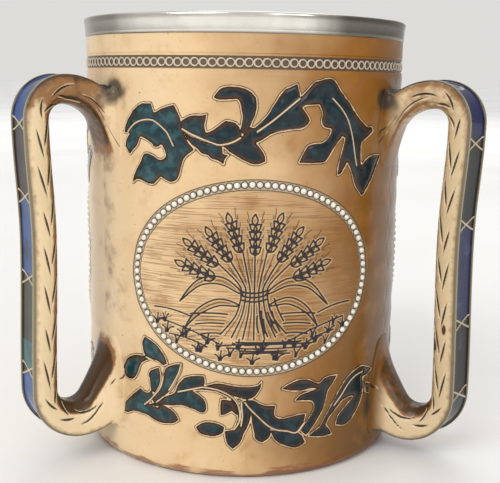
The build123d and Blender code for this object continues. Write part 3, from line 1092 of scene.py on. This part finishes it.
def carve_band(wall, sizes, low, high, stops):
    """Bends a flat grid round the cup, carves it and notes what lies where on it."""
    radius = sizes.radius / MM
    flat = np.array([vertex.co for vertex in wall.data.vertices])
    azimuth = np.interp(flat[:, 0], (-1, -stops[0], stops[0], 1), (-60, -stops[1], stops[1], 60))
    height = low + (flat[:, 1] + 1) / 2 * (high - low)
    arc_step = math.radians(1) * radius
    spots = np.stack((azimuth * arc_step, height), 1)
    leaves = [flowing_line([(a * arc_step, z) for a, z in leaf], True) for leaf in LEAVES]
    veins = [flowing_line([(a * arc_step, z) for a, z in vein]) for vein in VEINS]
    leaf = distance_to_shapes(spots, leaves)
    vein = np.where(leaf < 0.6, distance_to_lines(spots, veins), FAR)
    place = spots - (0, sizes.oval_height / MM)
    beads = bead_spots(sizes)
    oval = distance_to_shapes(place, [np.vstack((beads, beads[:1]))])
    bead = np.full(len(place), FAR)
    for spot in beads:
        near = np.abs(place - spot).max(1) < FAR
        bead[near] = np.minimum(bead[near], np.hypot(*(place[near] - spot).T))
    drawn_shapes, drawn_cuts, drawn_hatching = wheat_sheaf()
    outlines = [np.vstack((line, line[:1])) for line in drawn_shapes]
    shape = distance_to_shapes(place, outlines)
    cut = distance_to_lines(place, drawn_cuts + outlines)
    hatch = distance_to_lines(place, drawn_hatching)
    dark = flashing_and_shade(azimuth, height)
    fields = (
        ("leaf", leaf),
        ("vein", vein),
        ("bead", bead),
        ("oval", oval),
        ("cut", cut),
        ("shape", shape),
        ("hatch", hatch),
        ("flashing_shade", dark),
        ("along", spots[:, 0]),
    )
    for name, values in fields:
        write_attribute(wall, name, values)
    relief = 0.30 * bell(leaf, 0.30, 0.26) - 0.14 * bell(leaf, 0.75, 0.25)
    relief += 0.14 * np.clip(-leaf / 1.6, 0, 1) - 0.12 * bell(leaf, -0.30, 0.3)
    relief += 0.26 * bell(vein, 0, 0.32) - 0.12 * bell(vein, 0.65, 0.25)
    ditch = np.abs(oval)
    relief += -0.26 * bell(ditch, 0, 1.1) + 0.16 * bell(ditch, 1.9, 0.3)
    relief += -0.22 * bell(cut, 0, 0.26) + 0.14 * bell(cut, 0.55, 0.22)
    relief += -0.08 * bell(hatch, 0, 0.22)
    relief += 0.10 * np.sin(height * 0.55 + 0.4 * np.sin(np.radians(azimuth * 3)))
    edge = np.minimum(60 - np.abs(azimuth), (CHAIN_FOOT - height)) / 1.5
    edge = np.clip(np.minimum(edge, (height - WALL_FOOT) / 1.5), 0, 1)
    reach = radius + relief * sizes.relief * edge
    angle = np.radians(azimuth)
    points = np.stack((reach * np.sin(angle), -reach * np.cos(angle), height), 1) * MM
    wall.data.vertices.foreach_set("co", points.astype(np.float32).ravel())
    wall.data.update()
    wall.data.shade_smooth()


class LOVINGCUP_OT_carve_panels(bpy.types.Operator):
    """Carve the wall between the handles: leaves, bead channel and the oval's drawing"""

    bl_idname = "lovingcup.carve_panels"
    bl_label = "Carve panels"

    def execute(self, context):
        sizes = context.scene.loving_cup_sizes
        clay = salt_glazed_stoneware("carved_stoneware", context.scene.loving_cup_glazes)
        for name, steps, low, high, stops in WALL_BANDS:
            to_object_mode()
            bpy.ops.mesh.primitive_grid_add(x_subdivisions=steps[0], y_subdivisions=steps[1])
            wall = bpy.context.object
            wall.name = wall.data.name = f"wall_{name}_front"
            carve_band(wall, sizes, low, high, stops)
            wall.data.materials.append(clay)
            ride_as(wall, "salt_glazed_stoneware", "body")
            for side, turn in (("right", 120), ("left", -120)):
                select_only(wall)
                bpy.ops.object.duplicate()
                panel = bpy.context.object
                panel.name = panel.data.name = f"wall_{name}_{side}"
                panel.data.transform(Matrix.Rotation(math.radians(turn), 4, "Z"))
                ride_as(panel, "salt_glazed_stoneware", "body")
        return {"FINISHED"}


class LOVINGCUP_OT_dot_beads(bpy.types.Operator):
    """Set the dots of white slip round the three ovals"""

    bl_idname = "lovingcup.dot_beads"
    bl_label = "Dot beads"

    def execute(self, context):
        sizes = context.scene.loving_cup_sizes
        radius = sizes.radius / MM
        slip = white_slip("white_slip", context.scene.loving_cup_glazes)
        for node, turn in (("front", 0), ("right", 120), ("left", -120)):
            to_object_mode()
            bpy.ops.mesh.primitive_uv_sphere_add(
                segments=12, ring_count=8, radius=sizes.bead_radius, location=(0, 0, 0)
            )
            dome = bpy.context.object
            bpy.ops.object.mode_set(mode="EDIT")
            bpy.ops.mesh.select_all(action="SELECT")
            bpy.ops.mesh.bisect(
                plane_co=(0, 0, -0.2 * sizes.bead_radius),
                plane_no=(0, 0, 1),
                clear_inner=True,
                use_fill=True,
            )
            bpy.ops.mesh.select_all(action="SELECT")
            bpy.ops.transform.resize(value=(1.0, 1.0, 0.86), center_override=(0, 0, 0))
            bpy.ops.object.mode_set(mode="OBJECT")
            places = []
            for count, (across, up) in enumerate(bead_spots(sizes)):
                azimuth = turn + math.degrees(across / radius)
                place = on_the_wall(radius - 0.12, azimuth, sizes.oval_height / MM + up)
                size = 1 + 0.05 * math.sin(count * 2.7 + turn)
                places.append(place @ Matrix.Scale(size, 4))
            beads = copies_of(dome, places, f"beads_{node}", slip)
            ride_as(beads, "white_slip", f"bead_oval_{node}")
        return {"FINISHED"}


def arc(centre, radius, start, end, count):
    """Points round part of a circle, from one angle in degrees to another."""
    turn = np.radians(np.linspace(start, end, count))
    return np.stack((centre[0] + radius * np.cos(turn), centre[1] + radius * np.sin(turn)), 1)


def easing(start, end, count):
    """Points from start to end that leave and arrive upright."""
    part = np.linspace(0, 1, count)
    sway = (1 - np.cos(math.pi * part)) / 2
    return np.stack((start[0] + (end[0] - start[0]) * sway, start[1] + (end[1] - start[1]) * part), 1)


def spaced(pieces, count):
    """The pieces of line joined, as this many evenly spaced points."""
    line = np.vstack(pieces)
    run = np.append(0, np.cumsum(np.hypot(*np.diff(line, axis=0).T)))
    steps = np.linspace(0, run[-1], count, endpoint=False)
    return np.stack((np.interp(steps, run, line[:, 0]), np.interp(steps, run, line[:, 1])), 1)


def strap_edges(sag):
    """Matching points on a handle's outer and inner edge, as (reach, height)."""
    foot = 7.6 - sag
    hip, heel = foot + 19.2, foot + 18.6
    upper_tail = bowed((56.2, 86.5), (63.28, 118.92), 0.7, 16)
    lower_tail = bowed((70.0, heel - 3.0), (56.2, heel + 26.6), 0.9, 16)
    counts = (84, 44, 84, 106, 60, 72)
    outer = (
        [arc((76.8, 117.16), 22.34, 158.0, 90, 40)],
        [arc((76.8, 124.3), 15.2, 90, 0, 30)],
        [easing((92.0, 124.3), (90.2, 82), 30)],
        [easing((90.2, 82), (91.4, hip), 30)],
        [arc((72.2, hip), 19.2, 0, -90, 40)],
        [arc((72.2, foot + 17.18), 17.18, -90, -161, 40)],
    )
    inner = (
        [upper_tail, arc((76.8, 115.3), 14.0, 165, 90, 30)],
        [arc((76.8, 124.3), 5.0, 90, 0, 30)],
        [easing((81.8, 124.3), (80.0, 82), 30)],
        [easing((80.0, 82), (81.2, heel), 30)],
        [arc((75.2, heel), 6.0, 0, -90, 30)],
        [arc((75.2, heel), 6.0, -90, -150, 20), lower_tail],
    )
    return (
        np.vstack([spaced(part, count) for part, count in zip(outer, counts)]),
        np.vstack([spaced(part, count) for part, count in zip(inner, counts)]),
    )


def strap_outline():
    """Half a cross-section of the strap, front middle to back middle: (across, depth)."""
    corners = (
        (0, 0.75), (2.5, 0.72), (4.3, 0.62), (4.85, 0.35), (5.3, -0.02), (5.9, -0.06),
        (6.5, 0.12), (6.95, 0.8), (7.15, 2.2), (7.15, 4.0), (6.8, 6.0), (5.9, 8.0),
        (4.4, 9.4), (2.4, 10.1), (0, 10.2),
    )
    line = flowing_line(corners, steps=8, corner=170)
    return np.vstack((spaced([line], 60), line[-1:]))


class LOVINGCUP_OT_pull_handles(bpy.types.Operator):
    """Pull the three strap handles and join their flared roots to the wall"""

    bl_idname = "lovingcup.pull_handles"
    bl_label = "Pull handles"

    def execute(self, context):
        sizes = context.scene.loving_cup_sizes
        radius = sizes.radius / MM
        glazes = context.scene.loving_cup_glazes
        clay = strap_glaze("glazed_strap", glazes)
        half = strap_outline()
        loop = np.vstack((half, half[-2:0:-1] * (-1, 1)))
        for name, (azimuth, sag, blocks, chevrons, stains, twist, plait, fire_and_shade) in HANDLES.items():
            outer, inner = strap_edges(sag)
            run = np.append(0, np.cumsum(np.hypot(*np.diff(outer, axis=0).T)))
            thick = np.hypot(*(outer - inner).T)[:, None]
            inward = (inner - outer) / thick
            across = np.tile(loop[:, 0], (len(run), 1))
            depth = np.tile(loop[:, 1], (len(run), 1))
            along = np.tile(run[:, None], (1, len(loop)))
            stretch = (thick - 3) / (sizes.strap_depth / MM - 3)
            depth = np.where(depth > 3, 3 + (depth - 3) * stretch, depth)
            swell = thick - sizes.strap_depth / MM
            lean = depth - (plait + 0.42 * swell)
            on_front = (depth < 1.0) & (np.abs(across) < 6.9)
            side = ~on_front & (depth > 1.2) & (depth < 9.4 + 0.8 * swell)
            stroke = np.full(across.shape, FAR)
            stroke_burr = np.full(across.shape, FAR)
            for row in (-1, 1):
                shifted = along + (3.4 if row > 0 else 0) + 3.0 * np.sign(across) + PITCH * 20
                number = np.floor(shifted / PITCH)
                jitter = np.sin(number * 2.3 + row * 1.7 + azimuth)
                step = shifted - (number + 0.5) * PITCH + 0.6 * jitter
                length = 5.3 + 0.5 * jitter
                line = row * (1.35 + 0.2 * jitter - 0.235 * step)
                taper = 0.44 * np.clip(1 - (step / length) ** 2, 0, 1)
                off = np.abs(lean - line) + np.where(np.abs(step) > length, 1.0, 0)
                burr_off = np.abs(lean - line - 0.55 * row) + np.where(np.abs(step) > length, 1, 0)
                stroke = np.where(side, np.minimum(stroke, off - taper), stroke)
                stroke_burr = np.where(side, np.minimum(stroke_burr, burr_off), stroke_burr)
            chevron = np.full(across.shape, FAR)
            diamond = np.zeros(across.shape, bool)
            for middle in chevrons:
                rise = np.abs(along - middle)
                near = on_front & (rise < 3.2) & (np.abs(across) < 5.2)
                crossing = np.abs(rise - 0.46 * np.abs(across)) * 0.9
                chevron = np.where(near, np.minimum(chevron, crossing), chevron)
                diamond |= near & (rise < 0.46 * np.abs(across))
            shade = np.zeros(across.shape + (4,))
            for start, end, glaze in blocks:
                shade[(along >= start) & (along < end)] = linear(glaze)
            shade[diamond] = glazes.brown
            stain = np.zeros(across.shape)
            for spot, inward_by, size in stains:
                gap = np.hypot((along - spot) / 2.2, depth - inward_by)
                stain = np.maximum(stain, np.where(across < 0, bell(gap, 0, size), 0))
            # Painted shade of the rounded side face: brown along its outer edge.
            scorch_and_shade = 0.30 * bell(depth, 1.4, 1.1) * (np.abs(across) > 5)
            # Brown at the inner edge: partly the fire's colour, partly painted shade where the side turns away
            # from the light.
            scorch_and_shade += fire_and_shade[1] * np.clip((depth - 6.7 - 0.75 * swell) / 1.8, 0, 1)
            limb = np.clip((50 - along) / 12, 0, 1) * np.clip((swell + 2) / 3, 0, 1)
            scorch_and_shade += fire_and_shade[0] * limb * np.clip(1 - swell / 20, 0, 1) * (depth < 8 + swell)
            # Painted shade: dark on the lower limb's face toward the wall.
            lower = np.clip((along - 154) / 14, 0, 1) * (1 - 0.35 * np.clip((along - 174) / 26, 0, 1))
            under = np.clip((depth - 6.4 - 0.7 * swell) / 1.6, 0, 1)
            scorch_and_shade += 0.95 * lower * under + 0.4 * bell(along, 161, 8) * under
            depth = depth - 0.20 * bell(chevron, 0, 0.32)
            across_cut = across - np.sign(across) * 0.34 * bell(np.maximum(stroke, 0), 0, 0.16)
            across_cut += np.sign(across) * 0.12 * np.where(side, bell(stroke_burr, 0, 0.22), 0)
            reach = outer[:, :1] + inward[:, :1] * depth
            height = outer[:, 1:] + inward[:, 1:] * depth
            flare = np.clip((74.2 - reach) / 19.5, 0, 1)
            wide = across_cut * (1 + 0.5 * flare**2)
            middle_reach = (outer[:, :1] + inner[:, :1]) / 2
            middle_height = (outer[:, 1:] + inner[:, 1:]) / 2
            gap = np.stack((reach - middle_reach, wide, height - middle_height))
            skin = np.hypot(reach, wide) - radius
            free = np.clip(skin / 6, 0, 1)
            room = np.clip(ROOT_EASE - skin, 0, ROOT_EASE)
            spread = ROOT_EASE - np.sqrt(ROOT_EASE**2 - room**2)
            gap = gap * (1 + spread / np.maximum(np.sqrt((gap**2).sum(0)), 1e-6))
            hold = np.clip((along - 22) / 26, 0, 1) * np.clip((186 - along) / 30, 0, 1)
            lay = math.radians(twist) * (1 - np.cos(math.pi * hold)) / 2
            outward = gap[0] * inward[:, :1] + gap[2] * inward[:, 1:]
            swung = outward * np.cos(lay) - gap[1] * np.sin(lay) - outward
            wide = gap[1] * np.cos(lay) + outward * np.sin(lay)
            reach = middle_reach + gap[0] + swung * inward[:, :1]
            height = middle_height + gap[2] + swung * inward[:, 1:]
            turn = math.radians(azimuth)
            points = np.stack(
                (
                    reach * math.sin(turn) + wide * math.cos(turn),
                    -reach * math.cos(turn) + wide * math.sin(turn),
                    height,
                ),
                2,
            ).reshape(-1, 3)
            rows, columns = across.shape
            faces = []
            for here in range(rows - 1):
                for corner in range(columns):
                    beside = (corner + 1) % columns
                    start = here * columns
                    faces.append(
                        (start + corner, start + beside, start + columns + beside, start + columns + corner)
                    )
            faces.append(tuple(range(columns))[::-1])
            faces.append(tuple(range((rows - 1) * columns, rows * columns)))
            handle = piece_from(name, points, faces, clay)
            write_attribute(handle, "channel", np.where(on_front, np.abs(across) - 5.05, FAR).ravel())
            rail = np.where(on_front | (depth < 1.6), np.abs(np.abs(across) - 5.9), FAR)
            rail += 3 * np.clip(1 - 2.2 * free, 0, 1)
            write_attribute(handle, "ridge", rail.ravel())
            write_attribute(handle, "stroke", stroke.ravel())
            write_attribute(handle, "stroke_burr", stroke_burr.ravel())
            write_attribute(handle, "chevron", chevron.ravel())
            write_attribute(handle, "stain", stain.ravel())
            write_attribute(handle, "scorch_and_shade", (scorch_and_shade * np.clip(free * 3, 0, 1)).ravel())
            write_attribute(handle, "free", free.ravel())
            bearing = azimuth + np.degrees(np.arctan2(wide, reach))
            # The wall's kiln flashing and painted shade carry onto the strap near the wall.
            dark = flashing_and_shade((bearing + 180) % 120 - 60, height) * np.clip(1 - skin / 9, 0, 1)
            write_attribute(handle, "flashing_shade", dark.ravel())
            write_attribute(handle, "block", shade.reshape(-1, 4))
            select_only(handle)
            bpy.ops.object.mode_set(mode="EDIT")
            bpy.ops.mesh.select_all(action="SELECT")
            bpy.ops.mesh.normals_make_consistent(inside=False)
            bpy.ops.object.mode_set(mode="OBJECT")
            bpy.ops.object.shade_smooth_by_angle(angle=math.radians(60))
            ride_as(handle, "glazed_handle", name.replace("strap", "handle"))
        return {"FINISHED"}


class LOVINGCUP_OT_mount_silver(bpy.types.Operator):
    """Spin the silver rim and bed it on the lip"""

    bl_idname = "lovingcup.mount_silver"
    bl_label = "Mount silver"

    def execute(self, context):
        sizes = context.scene.loving_cup_sizes
        glazes = context.scene.loving_cup_glazes
        radius, inside, top = sizes.radius / MM, sizes.inside / MM, sizes.height / MM
        seat = top - 6.8
        outer_edge = [
            (radius - 0.2 + 0.9 * math.cos(turn), top - 0.9 + 0.9 * math.sin(turn))
            for turn in np.linspace(0, math.pi / 2, 6)
        ]
        inner_edge = [
            (inside + 0.9 - 0.9 * math.sin(turn), top - 0.9 + 0.9 * math.cos(turn))
            for turn in np.linspace(0, math.pi / 2, 6)
        ]
        profile = [(radius - 0.35, seat + 0.15), (radius + 0.1, seat), (radius + 0.25, seat + 0.2)]
        profile += [(radius + 0.28, seat + 1.2), (radius + 0.42, top - 2.6)] + outer_edge
        profile += [(radius - 2.8, top - 0.04)] + inner_edge
        profile += [(inside, seat + 0.3), (inside + 0.1, seat), (inside + 0.55, seat + 0.2)]
        profile += [(inside + 0.6, top - 0.7), (radius - 0.3, top - 0.7), profile[0]]
        rim = lathe("silver_rim_spun", profile, rubbed_silver("rubbed_silver", glazes), 192, 40)
        ride_as(rim, "silver", "silver_rim")
        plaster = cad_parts["rim_cement"]
        plaster.data.materials.clear()
        plaster.data.materials.append(bedding_plaster("bedding_plaster"))
        return {"FINISHED"}


def soft_light(name, place, target, size, power):
    """An area light at place, in metres, that faces target."""
    bpy.ops.object.light_add(type="AREA", location=place)
    light = bpy.context.object
    light.name = name
    light.data.size = size
    light.data.energy = power
    light.rotation_euler = (Vector(target) - Vector(place)).to_track_quat("-Z", "Y").to_euler()


class LOVINGCUP_OT_set_stage(bpy.types.Operator):
    """Set the pale floor, the soft lights, the room and the camera"""

    bl_idname = "lovingcup.set_stage"
    bl_label = "Set stage"

    def execute(self, context):
        stage = context.scene.loving_cup_stage
        to_object_mode()
        bpy.ops.mesh.primitive_circle_add(
            vertices=96, radius=30.0, fill_type="NGON", location=(0, 0, 0)
        )
        floor = bpy.context.object
        floor.name = floor.data.name = "pale_floor"
        bpy.ops.object.mode_set(mode="EDIT")
        bpy.ops.mesh.select_all(action="SELECT")
        bpy.ops.mesh.extrude_region_move(TRANSFORM_OT_translate={"value": (0, 0, -0.02)})
        bpy.ops.mesh.select_all(action="SELECT")
        bpy.ops.mesh.normals_make_consistent(inside=False)
        bpy.ops.object.mode_set(mode="OBJECT")
        floor.data.materials.append(pale_board("pale_board", stage.floor))
        middle = (0, 0, 0.08)
        soft_light("key_light", (-1.9, -2.1, 2.4), middle, 2.0, stage.key_power)
        soft_light("fill_light", (1.4, -2.6, 1.25), middle, 1.5, stage.fill_power)
        soft_light("back_light", (0.75, 2.25, 2.25), middle, 2.0, stage.fill_power)
        world = bpy.data.worlds.new("pale_room")
        context.scene.world = world
        world.use_nodes = True
        tree = world.node_tree
        tree.nodes.clear()
        toward = node(tree, "TexCoord")["Generated"]
        axes = node(tree, "SeparateXYZ", {0: toward})
        room = coated(
            tree,
            linear("#F4F3F0"),
            (
                (linear("#BDBAB3"), axes["X"], 0.34, 0.62, 0.85),
                (linear("#D2CFC9"), axes["X"], -0.55, -0.75, 0.70),
                (linear("#FFFFFF"), axes["Z"], 0.30, 0.70, 1.0),
            ),
        )
        shine = node(tree, "Background", {"Color": room, "Strength": stage.sky})[0]
        node(tree, "OutputWorld", {0: shine})
        bpy.ops.object.camera_add(location=(0, 0, 0))
        camera = bpy.context.object
        camera.name = "photo_camera"
        camera.data.lens = stage.focal
        yaw, dip, roll = math.radians(0.53) + stage.turn, math.radians(10.42), math.radians(0.92)
        ahead = Vector((math.sin(yaw) * math.cos(dip), math.cos(yaw) * math.cos(dip), -math.sin(dip)))
        right = Vector((math.cos(yaw), -math.sin(yaw), 0))
        above = right.cross(ahead)
        tilted_right = right * math.cos(roll) + above * math.sin(roll)
        tilted_up = above * math.cos(roll) - right * math.sin(roll)
        stand = Matrix((tilted_right, tilted_up, -ahead)).transposed().to_4x4()
        stand.translation = Vector(
            (-348.5 * math.sin(stage.turn), -348.5 * math.cos(stage.turn), 138.2)
        ) * MM
        camera.matrix_world = stand
        context.scene.camera = camera
        context.scene.view_settings.view_transform = "Standard"
        return {"FINISHED"}


class LOVINGCUP_PT_workshop(bpy.types.Panel):
    """The steps of making the cup, first to last"""

    bl_idname = "LOVINGCUP_PT_workshop"
    bl_label = "Loving cup"
    bl_space_type = "VIEW_3D"
    bl_region_type = "UI"
    bl_category = "Loving cup"

    def draw(self, context):
        for step in STEPS:
            self.layout.operator(step.bl_idname)
        for group in ("sizes", "glazes", "stage"):
            settings = getattr(context.scene, f"loving_cup_{group}")
            box = self.layout.box()
            for name in settings.__annotations__:
                box.prop(settings, name)


STEPS = (
    LOVINGCUP_OT_set_stage,
    LOVINGCUP_OT_throw_body,
    LOVINGCUP_OT_stamp_chain,
    LOVINGCUP_OT_carve_panels,
    LOVINGCUP_OT_dot_beads,
    LOVINGCUP_OT_pull_handles,
    LOVINGCUP_OT_mount_silver,
)
GROUPS = {"sizes": LovingCupSizes, "glazes": LovingCupGlazes, "stage": LovingCupStage}


def register():
    """Registers the settings, the steps and the panel."""
    for name, group in GROUPS.items():
        bpy.utils.register_class(group)
        setattr(bpy.types.Scene, f"loving_cup_{name}", bpy.props.PointerProperty(type=group))
    for step in STEPS + (LOVINGCUP_PT_workshop,):
        bpy.utils.register_class(step)


def unregister():
    """Takes all of it out again."""
    for step in (LOVINGCUP_PT_workshop,) + STEPS[::-1]:
        bpy.utils.unregister_class(step)
    for name, group in GROUPS.items():
        delattr(bpy.types.Scene, f"loving_cup_{name}")
        bpy.utils.unregister_class(group)


def make_cup():
    """Makes every piece in order."""
    register()
    for step in STEPS:
        group, name = step.bl_idname.split(".")
        getattr(getattr(bpy.ops, group), name)()


if __name__ == "__main__":
    make_cup()
